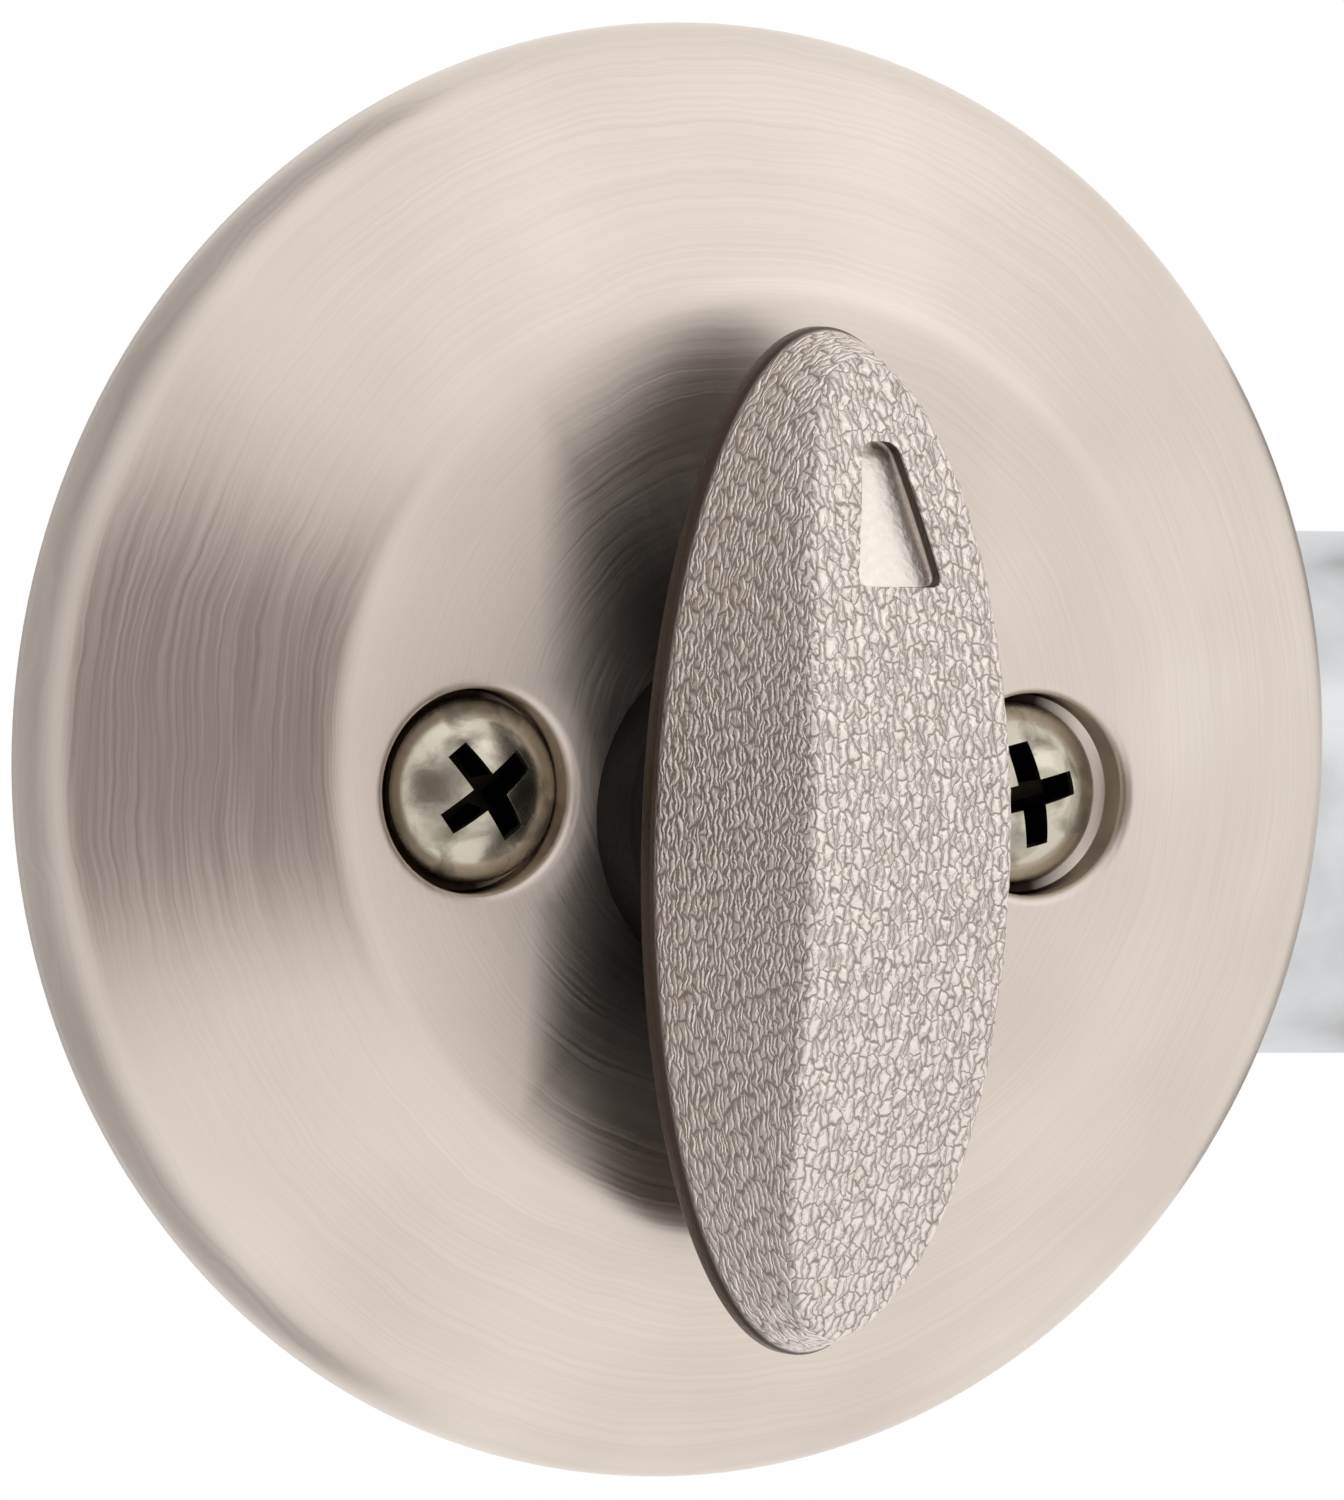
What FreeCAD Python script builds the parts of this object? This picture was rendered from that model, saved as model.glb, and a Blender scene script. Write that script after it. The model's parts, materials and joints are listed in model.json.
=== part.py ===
import FreeCAD, Part
import math
import os

# One-sided tubular deadbolt: an oval thumbturn on a round rose, and a 25.4 mm throw bolt.
# Frame: +Z up, the door's inside face is the plane y = 0, the room is on the -Y side and
# the door's edge is on the +X side. The origin is on the thumbturn's axis. Units are mm.

# Door preparation and bolt travel
BACKSET = 60.3
BOLT_DEPTH = 20.0
EDGE_BORE_R = 12.6
THROW = 25.4
TURN = math.pi / 2

# Rose: a pressed dome with a flat centre, a 28 degree skirt and a rolled rim
ROSE_R = 33.5
ROSE_H = 8.9
ROSE_RISE = 2.6
ROSE_SHEET = 1.1
ROSE_FLAT_R = 20.6
SKIRT_ANGLE = math.radians(28)
RIM_ROLL = 3.2
SHOULDER_ROLL = 3.4

# Mounting screws, number 8 with oval heads, in pressed cups
SCREW_SPAN = 27.8
SCREW_RISE = 1.0
SCREW_R = 2.05
SCREW_PROUD = 1.0
SCREW_FREE = 0.3
SCREW_HEAD_R = 4.2
CUP_SPAN = 28.6
CUP_R = 4.9
CUP_DEPTH = 1.9
CUP_WALL = 0.9
HEAD_EDGE = 0.5
HEAD_CROWN = 1.9
CROSS_WIDTH = 1.05
CROSS_SPAN = 4.6
CROSS_DEPTH = 1.6
CROSS_TURNS = (38.0, 14.0)

# Thumbturn: an oval grip on a round neck
GRIP_LENGTH = 46.7
GRIP_WIDTH = 16.6
GRIP_DROP = 0.95
GRIP_BACK = 13.2
GRIP_BAND = 1.2
GRIP_FRONT = 24.0
GRIP_ARCH_R = 42.0
CREST_LENGTH = 40.3
CREST_WIDTH = 9.4
CREST_OVER = 1.5
NECK_R = 5.0
NECK_END = 3.2
MARK_DEPTH = 1.1
MARK_TOP = 18.1
MARK_BASE = 11.8
MARK_WIDTH = 4.4
MARK_TIP = 0.85

# Bushing, washer and clip that carry the neck in the rose
RUN_FIT = 0.05
BUSH_R = 8.3
BUSH_FRONT = 12.9
BUSH_SLEEVE_R = 6.6
BUSH_END = 6.5
BUSH_ROUND = 0.8
WASHER_R = 7.4
WASHER_T = 0.4
CLIP_Y = 6.0
CLIP_T = 0.8
CLIP_R = 7.0
CLIP_GROOVE_R = 4.3
CLIP_GAP = 4.0

# Torque blade and its cross pin
BLADE_R = 3.0
BLADE_FLAT = 1.4
BLADE_START = -8.6
BLADE_PIN_R = 0.8
BLADE_PIN_Y = -4.3
BLADE_PIN_INSET = 0.2

# Bolt case: two plates joined by spacer rivets, with a tongue in the tube
CASE_GAP = 7.2
CASE_T = 1.2
CASE_HALF = 9.2
CASE_BACK = -18.0
CASE_CORNER = 4.0
CASE_TONGUE = 33.0
TONGUE_HALF = 7.4
RIVET_R = 1.0
SPACER_R = 1.3
RIVET_LOW = -7.1
RIVET_PLACES = ((-15.6, -5.4), (-9.5, RIVET_LOW), (9.5, RIVET_LOW), (20.5, -6.2), (20.5, 4.8))
CAM_JOURNAL_R = 5.0
CAM_HUB_R = 6.0
CAM_ARM_T = 2.4
CAM_FORK_REACH = 17.4
CAM_FORK_WALL = 1.8
CAM_DENT_R = 1.2
CAM_DENT_REACH = 6.7
SLOT_STEPS = 45
SIDE_GAP = 0.2

# Bolt, tail and drive pin
BOLT_HALF_Y = 6.75
BOLT_HALF_Z = 9.75
BOLT_CORNER = 2.0
BOLT_BACK = 24.5
BOLT_CHAMFER = 0.8
SAW_PIN_R = 2.5
SAW_PIN_COVER = 6.0
TAIL_Y = 1.5
TAIL_T = 1.6
TAIL_LOW = 8.0
TAIL_TOP = 9.6
TAIL_GRIP = 10.0
TAIL_STEP = 4.0
TAIL_STEP_TOP = 12.0
TAIL_RIVET_R = 0.7
TAIL_RIVET_REACH = 5.0
TAIL_RIVET_PLACES = (3.0, 7.0)
DRIVE_PIN_R = 1.2
DRIVE_PIN_RISE = 10.6
DRIVE_PIN_OVER = 0.6
LUG_R = 1.7

# Tube and plates at the door's edge
TUBE_START = 28.0
TUBE_WALL = 1.2
PLATE_H = 57.2
PLATE_W = 25.4
PLATE_CORNER = 6.3
FACEPLATE_T = 2.4
BACKING_T = 1.2
BOLT_SLIP = 0.3
EDGE_SCREW_SPAN = 41.3
EDGE_SCREW_R = 2.1
EDGE_SHANK_R = 1.9
EDGE_THREAD_GAP = 0.5
EDGE_SCREW_HEAD_R = 4.0
EDGE_SCREW_LENGTH = 12.7
EDGE_SCREW_TIP = 4.0
EDGE_SCREW_POINT_R = 0.3

# Clamp bar behind the case
BAR_HALF_X = 18.0
BAR_HALF_Z = 4.2
BAR_T = 3.0

# Detent spring under the cam
SPRING_T = 0.5
SPRING_HALF = 10.6
SPRING_FLAT = 6.5
SPRING_TIP = 6.25
SPRING_WIDTH = 6.0

CASE_FRONT_Y = BOLT_DEPTH - CASE_GAP - CASE_T
CASE_REAR_Y = BOLT_DEPTH + CASE_GAP + CASE_T
PLATE_BACK_X = BACKSET - FACEPLATE_T
TUBE_END = PLATE_BACK_X - BACKING_T
PIN_X = -THROW / 2


def vec(x, y, z):
    return FreeCAD.Vector(x, y, z)


def block(x0, x1, y0, y1, z0, z1):
    return Part.makeBox(x1 - x0, y1 - y0, z1 - z0, vec(x0, y0, z0))


def disc_y(radius, y0, y1, x=0.0, z=0.0):
    """A round bar along Y between two depths."""
    return Part.makeCylinder(radius, y1 - y0, vec(x, y0, z), vec(0, 1, 0))


def disc_x(radius, x0, x1, y=BOLT_DEPTH, z=0.0):
    """A round bar along X between two places."""
    return Part.makeCylinder(radius, x1 - x0, vec(x0, y, z), vec(1, 0, 0))


def extrude_y(points, y0, y1):
    """A straight-sided prism whose outline lies in the XZ plane."""
    corners = [vec(x, y0, z) for x, z in points]
    face = Part.Face(Part.makePolygon(corners + corners[:1]))
    return face.extrude(vec(0, y1 - y0, 0))


def stadium_y(half_x, half_z, y0, y1, z=0.0):
    """A flat bar with round ends, its length along X."""
    straight = half_x - half_z
    middle = block(-straight, straight, y0, y1, z - half_z, z + half_z)
    ends = [disc_y(half_z, y0, y1, side * straight, z) for side in (-1, 1)]
    return middle.multiFuse(ends).removeSplitter()


def rounded_bar_x(x0, x1, half_y, half_z, corner):
    """A bar along X on the bolt's centre line, with rounded long edges."""
    bar = block(x0, x1, BOLT_DEPTH - half_y, BOLT_DEPTH + half_y, -half_z, half_z)
    along = [e for e in bar.Edges if abs(e.tangentAt(e.FirstParameter).x) > 0.99]
    return bar.makeFillet(corner, along)


def place_pair(shape, span):
    """Two copies of a shape, half the span to each side along X."""
    return [shape.translated(vec(side * span / 2, 0, 0)) for side in (-1, 1)]


def rose_profile(radius, flat_r, height, shoulder, roll):
    """Outline from the axis to the rim, as edges in the XY plane with x the radius."""
    sin_a, cos_a = math.sin(SKIRT_ANGLE), math.cos(SKIRT_ANGLE)
    half = SKIRT_ANGLE / 2
    top = vec(0, -height, 0)
    bend = vec(flat_r, -height, 0)
    bend_mid = vec(flat_r + shoulder * math.sin(half), -height + shoulder * (1 - math.cos(half)), 0)
    bend_end = vec(flat_r + shoulder * sin_a, -height + shoulder * (1 - cos_a), 0)
    roll_r = radius - roll * (1 - sin_a)
    roll_y = bend_end.y + (roll_r - bend_end.x) * math.tan(SKIRT_ANGLE)
    steep = (math.pi / 2 + SKIRT_ANGLE) / 2
    centre = vec(radius - roll, roll_y + roll * cos_a, 0)
    roll_mid = centre + vec(roll * math.sin(steep), -roll * math.cos(steep), 0)
    edge = vec(radius, centre.y, 0)
    foot = vec(radius, 0, 0)
    return [
        Part.LineSegment(top, bend).toShape(),
        Part.Arc(bend, bend_mid, bend_end).toShape(),
        Part.LineSegment(bend_end, vec(roll_r, roll_y, 0)).toShape(),
        Part.Arc(vec(roll_r, roll_y, 0), roll_mid, edge).toShape(),
        Part.LineSegment(edge, foot).toShape(),
    ]


def rose_dome(radius, flat_r, height, shoulder, roll):
    """The filled dome under one outline, closed on the door's face."""
    edges = rose_profile(radius, flat_r, height, shoulder, roll)
    edges.append(Part.LineSegment(vec(radius, 0, 0), vec(0, 0, 0)).toShape())
    edges.append(Part.LineSegment(vec(0, 0, 0), vec(0, -height, 0)).toShape())
    dome = Part.Face(Part.Wire(edges)).revolve(vec(0, 0, 0), vec(0, 1, 0), 360)
    return dome.translated(vec(0, 0, ROSE_RISE))


def rose():
    outer = rose_dome(ROSE_R, ROSE_FLAT_R, ROSE_H, SHOULDER_ROLL, RIM_ROLL)
    inner = rose_dome(ROSE_R - ROSE_SHEET, ROSE_FLAT_R, ROSE_H - ROSE_SHEET,
                      SHOULDER_ROLL - ROSE_SHEET, RIM_ROLL - ROSE_SHEET)
    floor = -ROSE_H + CUP_DEPTH
    cup = disc_y(CUP_R + CUP_WALL, -ROSE_H + ROSE_SHEET / 2, floor + CUP_WALL, 0, SCREW_RISE)
    hollow = disc_y(CUP_R, -ROSE_H - CUP_DEPTH, floor, 0, SCREW_RISE)
    hole = disc_y(SCREW_R + SCREW_FREE, floor - CUP_WALL, 0, 0, SCREW_RISE)
    body = outer.cut(inner).multiFuse(place_pair(cup, CUP_SPAN))
    body = body.cut(place_pair(hollow, CUP_SPAN) + place_pair(hole, SCREW_SPAN))
    return body.cut(disc_y(BUSH_SLEEVE_R, -ROSE_H - CUP_DEPTH, 0))


def oval(y, length, width):
    """An upright oval wire at one depth, on the grip's own centre."""
    centre = vec(0, y, -GRIP_DROP)
    curve = Part.Ellipse(centre + vec(0, 0, length / 2), centre + vec(width / 2, 0, 0), centre)
    return Part.Wire(curve.toShape())


def grip():
    """A low wide base band, flanks that lean in, and a front face arched end to end."""
    band_y = -GRIP_BACK - GRIP_BAND
    crest_y = -GRIP_FRONT - CREST_OVER
    base = oval(-GRIP_BACK, GRIP_LENGTH, GRIP_WIDTH)
    shoulder = oval(band_y, GRIP_LENGTH, GRIP_WIDTH)
    crest = oval(crest_y, CREST_LENGTH, CREST_WIDTH)
    band = Part.makeLoft([base, shoulder], True, True)
    flanks = Part.makeLoft([shoulder, crest], True, True)
    arch = Part.makeCylinder(GRIP_ARCH_R, GRIP_WIDTH * 2,
                             vec(-GRIP_WIDTH, GRIP_ARCH_R - GRIP_FRONT, -GRIP_DROP), vec(1, 0, 0))
    return band.fuse(flanks.common(arch)).removeSplitter()


def mark():
    """The triangular pocket in the upper part of the grip's front face."""
    points = [(-MARK_WIDTH / 2, MARK_BASE - GRIP_DROP), (MARK_WIDTH / 2, MARK_BASE - GRIP_DROP),
              (MARK_TIP, MARK_TOP - GRIP_DROP), (-MARK_TIP, MARK_TOP - GRIP_DROP)]
    prism = extrude_y(points, -GRIP_FRONT - CREST_OVER, -GRIP_BACK)
    deep = Part.makeCylinder(GRIP_ARCH_R - MARK_DEPTH, GRIP_WIDTH * 2,
                             vec(-GRIP_WIDTH, GRIP_ARCH_R - GRIP_FRONT, -GRIP_DROP), vec(1, 0, 0))
    return prism.cut(deep)


def blade_bar(y0, y1):
    """The torque blade's D section."""
    bar = disc_y(BLADE_R, y0, y1)
    return bar.cut(block(-BLADE_R, BLADE_R, y0, y1, BLADE_FLAT, BLADE_R))


def blade_pin():
    reach = NECK_R - BLADE_PIN_INSET
    return disc_x(BLADE_PIN_R, -reach, reach, BLADE_PIN_Y)


def turnpiece():
    neck = disc_y(NECK_R, -GRIP_BACK - GRIP_BAND, -NECK_END)
    groove = disc_y(NECK_R + 1, -CLIP_Y, -CLIP_Y + CLIP_T).cut(
        disc_y(CLIP_GROOVE_R, -CLIP_Y, -CLIP_Y + CLIP_T))
    cross = disc_x(BLADE_PIN_R, -NECK_R - 1, NECK_R + 1, BLADE_PIN_Y)
    body = grip().cut(mark()).fuse(neck)
    return body.cut([groove, cross, blade_bar(BLADE_START, -NECK_END)]).removeSplitter()


def turnpiece_bushing():
    flange = disc_y(BUSH_R, -BUSH_FRONT, -ROSE_H)
    rim = max(flange.Edges, key=lambda e: e.Length * (e.BoundBox.YMax < -BUSH_FRONT + 0.01))
    flange = flange.makeFillet(BUSH_ROUND, [rim])
    sleeve = disc_y(BUSH_SLEEVE_R, -ROSE_H, -BUSH_END)
    return flange.fuse(sleeve).cut(disc_y(NECK_R + RUN_FIT, -BUSH_FRONT, -BUSH_END))


def wave_washer():
    start = -CLIP_Y - WASHER_T
    return disc_y(WASHER_R, start, -CLIP_Y).cut(disc_y(NECK_R + RUN_FIT, start, -CLIP_Y))


def retaining_clip():
    ring = disc_y(CLIP_R, -CLIP_Y, -CLIP_Y + CLIP_T)
    ring = ring.cut(disc_y(CLIP_GROOVE_R, -CLIP_Y, -CLIP_Y + CLIP_T))
    return ring.cut(block(-CLIP_GAP / 2, CLIP_GAP / 2, -CLIP_Y, -CLIP_Y + CLIP_T, -CLIP_R, 0))


def torque_blade():
    return blade_bar(BLADE_START, CASE_REAR_Y).cut(blade_pin())


def mounting_screw(cross_turn):
    """One oval-head machine screw on X = 0, its cross turned anticlockwise seen from the room."""
    seat = -ROSE_H + CUP_DEPTH
    edge = seat - HEAD_EDGE
    ball_r = (SCREW_HEAD_R ** 2 + HEAD_CROWN ** 2) / (2 * HEAD_CROWN)
    ball = Part.makeSphere(ball_r, vec(0, edge - HEAD_CROWN + ball_r, SCREW_RISE))
    head = ball.common(disc_y(SCREW_HEAD_R, edge - 2 * HEAD_CROWN, edge, 0, SCREW_RISE))
    head = head.fuse(disc_y(SCREW_HEAD_R, edge, seat, 0, SCREW_RISE))
    shank = disc_y(SCREW_R, seat, CASE_REAR_Y + BAR_T + SCREW_PROUD, 0, SCREW_RISE)
    top = edge - HEAD_CROWN
    wide, long = CROSS_WIDTH / 2, CROSS_SPAN / 2
    slots = [block(-a, a, top - HEAD_CROWN, top + CROSS_DEPTH, SCREW_RISE - b, SCREW_RISE + b)
             for a, b in ((wide, long), (long, wide))]
    screw = head.fuse(shank).cut(slots)
    screw.rotate(vec(0, 0, SCREW_RISE), vec(0, -1, 0), cross_turn)
    return screw


def mounting_screws():
    screws = []
    for side, turn in zip((-1, 1), CROSS_TURNS):
        screws.append(mounting_screw(turn).translated(vec(side * SCREW_SPAN / 2, 0, 0)))
    return Part.makeCompound(screws)


def clamp_bar():
    bar = stadium_y(BAR_HALF_X, BAR_HALF_Z, CASE_REAR_Y, CASE_REAR_Y + BAR_T, SCREW_RISE)
    tapped = disc_y(SCREW_R, CASE_REAR_Y, CASE_REAR_Y + BAR_T, 0, SCREW_RISE)
    return bar.cut(place_pair(tapped, SCREW_SPAN))


def case_plate(y):
    body = block(CASE_BACK, TUBE_START, y, y + CASE_T, -CASE_HALF, CASE_HALF)
    upright = [e for e in body.Edges if abs(e.tangentAt(e.FirstParameter).y) > 0.99
               and e.BoundBox.XMax < CASE_BACK + 0.01]
    body = body.makeFillet(CASE_CORNER, upright)
    body = body.fuse(block(TUBE_START, CASE_TONGUE, y, y + CASE_T, -TONGUE_HALF, TONGUE_HALF))
    holes = place_pair(disc_y(SCREW_R + SCREW_FREE, y, y + CASE_T, 0, SCREW_RISE), SCREW_SPAN)
    holes += [disc_y(RIVET_R, y, y + CASE_T, x, z) for x, z in RIVET_PLACES]
    holes.append(disc_y(CAM_JOURNAL_R + RUN_FIT, y, y + CASE_T))
    return body.cut(holes).removeSplitter()


def case_rivets():
    """Rivets with a thick middle that keeps the two plates apart."""
    rivets = []
    for x, z in RIVET_PLACES:
        shank = disc_y(RIVET_R, CASE_FRONT_Y, CASE_REAR_Y, x, z)
        spacer = disc_y(SPACER_R, BOLT_DEPTH - CASE_GAP, BOLT_DEPTH + CASE_GAP, x, z)
        rivets.append(shank.fuse(spacer))
    return Part.makeCompound(rivets)


def fork_slot_half():
    """Half width of the fork's slot: the drive pin's furthest stray from the arm, and its radius."""
    stray = 0.0
    for step in range(SLOT_STEPS + 1):
        turned = TURN * step / SLOT_STEPS
        pin_x = PIN_X + THROW * step / SLOT_STEPS
        angle = math.atan2(DRIVE_PIN_RISE, pin_x) + turned
        reach = math.hypot(pin_x, DRIVE_PIN_RISE)
        stray = max(stray, abs(reach * math.sin(angle - 3 * math.pi / 4)))
    return stray + DRIVE_PIN_R + SIDE_GAP


def cam():
    """Hub with two journals and a forked arm that leans towards -X at rest."""
    body = disc_y(CAM_JOURNAL_R, CASE_FRONT_Y, CASE_REAR_Y)
    body = body.fuse(disc_y(CAM_HUB_R, BOLT_DEPTH - CASE_GAP + SIDE_GAP, BOLT_DEPTH + CASE_GAP - SIDE_GAP))
    slot = fork_slot_half()
    wide = slot + CAM_FORK_WALL
    y0, y1 = BOLT_DEPTH - CAM_ARM_T / 2, BOLT_DEPTH + CAM_ARM_T / 2
    bottom = DRIVE_PIN_RISE - DRIVE_PIN_R - SIDE_GAP
    arm = block(-wide, wide, y0, y1, 0, CAM_FORK_REACH).common(disc_y(CAM_FORK_REACH, y0, y1))
    mouth = block(-slot, slot, y0, y1, bottom + slot / 2, CAM_FORK_REACH)
    root = disc_y(slot, y0, y1, 0, bottom + slot)
    arm = arm.cut([mouth, root])
    arm.rotate(vec(0, 0, 0), vec(0, 1, 0), -45)
    dents = [disc_y(CAM_DENT_R, BOLT_DEPTH - CASE_GAP, BOLT_DEPTH + CASE_GAP, x, z)
             for x, z in ((0, -CAM_DENT_REACH), (CAM_DENT_REACH, 0))]
    return body.fuse(arm).cut(dents + [blade_bar(CASE_FRONT_Y, CASE_REAR_Y)])


def detent_spring():
    """A leaf that lies under two rivets and rises to a blunt ridge below the cam's hub."""
    low = RIVET_LOW - SPACER_R - SPRING_T
    foot = low + SPRING_T
    top = -SPRING_TIP
    under = [(-SPRING_HALF, low), (-SPRING_FLAT, low), (0, top - SPRING_T),
             (SPRING_FLAT, low), (SPRING_HALF, low)]
    over = [(SPRING_HALF, foot), (SPRING_FLAT, foot), (0, top),
            (-SPRING_FLAT, foot), (-SPRING_HALF, foot)]
    half = SPRING_WIDTH / 2
    return extrude_y(under + over, BOLT_DEPTH - half, BOLT_DEPTH + half)


def saw_pin_bore():
    return disc_x(SAW_PIN_R, BOLT_BACK, BACKSET - SAW_PIN_COVER)


def tail_rivet_rods():
    z = (TAIL_LOW + TAIL_TOP) / 2
    y0, y1 = BOLT_DEPTH - TAIL_RIVET_REACH / 2, BOLT_DEPTH + TAIL_RIVET_REACH
    return [disc_y(TAIL_RIVET_R, y0, y1, BOLT_BACK + x, z) for x in TAIL_RIVET_PLACES]


def bolt_tail():
    y0, y1 = BOLT_DEPTH + TAIL_Y, BOLT_DEPTH + TAIL_Y + TAIL_T
    strip = block(PIN_X, BOLT_BACK + TAIL_GRIP, y0, y1, TAIL_LOW, TAIL_TOP)
    strip = strip.fuse(disc_y(LUG_R, y0, y1, PIN_X, DRIVE_PIN_RISE))
    step = block(PIN_X, PIN_X + TAIL_STEP, y0, y1, TAIL_LOW, TAIL_STEP_TOP)
    body = strip.fuse(step)
    return body.cut(tail_rivet_rods() + [drive_pin()]).removeSplitter()


def drive_pin():
    start = BOLT_DEPTH - CAM_ARM_T / 2 - DRIVE_PIN_OVER
    return disc_y(DRIVE_PIN_R, start, BOLT_DEPTH + TAIL_Y + TAIL_T, PIN_X, DRIVE_PIN_RISE)


def deadbolt():
    body = rounded_bar_x(BOLT_BACK, BACKSET, BOLT_HALF_Y, BOLT_HALF_Z, BOLT_CORNER)
    nose = [e for e in body.Edges if e.BoundBox.XMin > BACKSET - 0.01]
    body = body.makeChamfer(BOLT_CHAMFER, nose)
    y0 = BOLT_DEPTH + TAIL_Y
    slot = block(BOLT_BACK, BOLT_BACK + TAIL_GRIP, y0, y0 + TAIL_T, TAIL_LOW, BOLT_HALF_Z)
    return body.cut([slot, saw_pin_bore()] + tail_rivet_rods())


def bolt_tube():
    body = disc_x(EDGE_BORE_R, TUBE_START, TUBE_END)
    inner = disc_x(EDGE_BORE_R - TUBE_WALL, TUBE_START, TUBE_END)
    return body.cut(inner)


def edge_plate(x0, x1):
    """A plate on the door's edge with the bolt's opening."""
    y0, y1 = BOLT_DEPTH - PLATE_W / 2, BOLT_DEPTH + PLATE_W / 2
    body = block(x0, x1, y0, y1, -PLATE_H / 2, PLATE_H / 2)
    corners = [e for e in body.Edges if abs(e.tangentAt(e.FirstParameter).x) > 0.99]
    body = body.makeFillet(PLATE_CORNER, corners)
    opening = rounded_bar_x(x0, x1, BOLT_HALF_Y + BOLT_SLIP, BOLT_HALF_Z + BOLT_SLIP,
                            BOLT_CORNER + BOLT_SLIP)
    return body.cut(opening)


def edge_screw_heads():
    """The countersunk head cones, one up and one down."""
    depth = EDGE_SCREW_HEAD_R - EDGE_SCREW_R
    return [Part.makeCone(EDGE_SCREW_R, EDGE_SCREW_HEAD_R, depth,
                          vec(BACKSET - depth, BOLT_DEPTH, side * EDGE_SCREW_SPAN / 2), vec(1, 0, 0))
            for side in (-1, 1)]


def edge_screw_holes():
    return [disc_x(EDGE_SCREW_R, TUBE_END, BACKSET, BOLT_DEPTH, side * EDGE_SCREW_SPAN / 2)
            for side in (-1, 1)]


def faceplate():
    return edge_plate(PLATE_BACK_X, BACKSET).cut(edge_screw_heads() + edge_screw_holes())


def backing_plate():
    return edge_plate(TUBE_END, PLATE_BACK_X).cut(edge_screw_holes())


def faceplate_screws():
    """Wood screws with a cross recess and a pointed end."""
    screws = []
    tip_end = BACKSET - EDGE_SCREW_LENGTH + EDGE_SCREW_TIP
    thread_end = TUBE_END - EDGE_THREAD_GAP
    for head, side in zip(edge_screw_heads(), (-1, 1)):
        z = side * EDGE_SCREW_SPAN / 2
        point = vec(tip_end - EDGE_SCREW_TIP, BOLT_DEPTH, z)
        tip = Part.makeCone(EDGE_SCREW_POINT_R, EDGE_SCREW_R, EDGE_SCREW_TIP, point, vec(1, 0, 0))
        thread = disc_x(EDGE_SCREW_R, tip_end, thread_end, BOLT_DEPTH, z)
        body = disc_x(EDGE_SHANK_R, tip_end, BACKSET, BOLT_DEPTH, z).fuse(thread)
        wide, long = CROSS_WIDTH / 2, CROSS_SPAN / 2
        slots = [block(BACKSET - CROSS_DEPTH, BACKSET, BOLT_DEPTH - a, BOLT_DEPTH + a, z - b, z + b)
                 for a, b in ((wide, long), (long, wide))]
        screws.append(body.multiFuse([head, tip]).cut(slots))
    return Part.makeCompound(screws)


NODES = {
    "rose": rose,
    "turnpiece": turnpiece,
    "turnpiece_bushing": turnpiece_bushing,
    "wave_washer": wave_washer,
    "retaining_clip": retaining_clip,
    "torque_blade": torque_blade,
    "blade_pin": blade_pin,
    "mounting_screws": mounting_screws,
    "clamp_bar": clamp_bar,
    "case_plate_front": lambda: case_plate(CASE_FRONT_Y),
    "case_plate_rear": lambda: case_plate(BOLT_DEPTH + CASE_GAP),
    "case_rivets": case_rivets,
    "cam": cam,
    "detent_spring": detent_spring,
    "deadbolt": deadbolt,
    "anti_saw_pin": saw_pin_bore,
    "bolt_tail": bolt_tail,
    "tail_rivets": lambda: Part.makeCompound(tail_rivet_rods()),
    "drive_pin": drive_pin,
    "bolt_tube": bolt_tube,
    "backing_plate": backing_plate,
    "faceplate": faceplate,
    "faceplate_screws": faceplate_screws,
}

os.makedirs("parts", exist_ok=True)
for name, make in NODES.items():
    shape = make()
    shape.exportStep("parts/" + name + ".step")
    print(f"{name:18s} valid {shape.isValid()} solids {len(shape.Solids)} volume {shape.Volume:9.2f}")
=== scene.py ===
import json
import math

import bmesh
import bpy
from mathutils import Matrix, Vector, noise

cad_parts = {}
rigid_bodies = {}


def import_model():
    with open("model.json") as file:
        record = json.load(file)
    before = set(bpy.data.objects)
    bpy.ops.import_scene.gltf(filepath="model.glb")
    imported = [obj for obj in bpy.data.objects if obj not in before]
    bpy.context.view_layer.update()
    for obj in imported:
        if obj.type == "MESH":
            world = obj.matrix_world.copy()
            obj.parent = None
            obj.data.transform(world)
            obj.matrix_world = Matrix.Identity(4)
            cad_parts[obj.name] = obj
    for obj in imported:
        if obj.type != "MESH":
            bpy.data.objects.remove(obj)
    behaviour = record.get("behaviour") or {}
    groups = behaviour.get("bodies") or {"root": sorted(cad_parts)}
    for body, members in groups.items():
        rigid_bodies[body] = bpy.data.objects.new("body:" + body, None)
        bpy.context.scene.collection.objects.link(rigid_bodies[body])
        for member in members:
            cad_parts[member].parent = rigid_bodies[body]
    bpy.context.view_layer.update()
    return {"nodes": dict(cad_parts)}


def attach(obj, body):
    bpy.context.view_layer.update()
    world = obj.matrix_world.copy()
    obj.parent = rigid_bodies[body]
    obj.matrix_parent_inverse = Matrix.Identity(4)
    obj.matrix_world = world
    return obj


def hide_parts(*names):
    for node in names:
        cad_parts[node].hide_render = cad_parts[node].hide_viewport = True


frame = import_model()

# Case plates, clamp bar, tube, backing plate and bolt tail.
# Cold-rolled steel, blanked or rolled and then zinc plated, so the edges are slightly
# rounded by the die and the plating is a cool grey with a faint cloudy spangle.
MM = 0.001


def hex_colour(code):
    """An sRGB hex colour as the linear values that shaders take."""
    parts = [int(code[i:i + 2], 16) / 255 for i in (0, 2, 4)]
    return [p / 12.92 if p <= 0.04045 else ((p + 0.055) / 1.055) ** 2.4 for p in parts] + [1.0]


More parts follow.
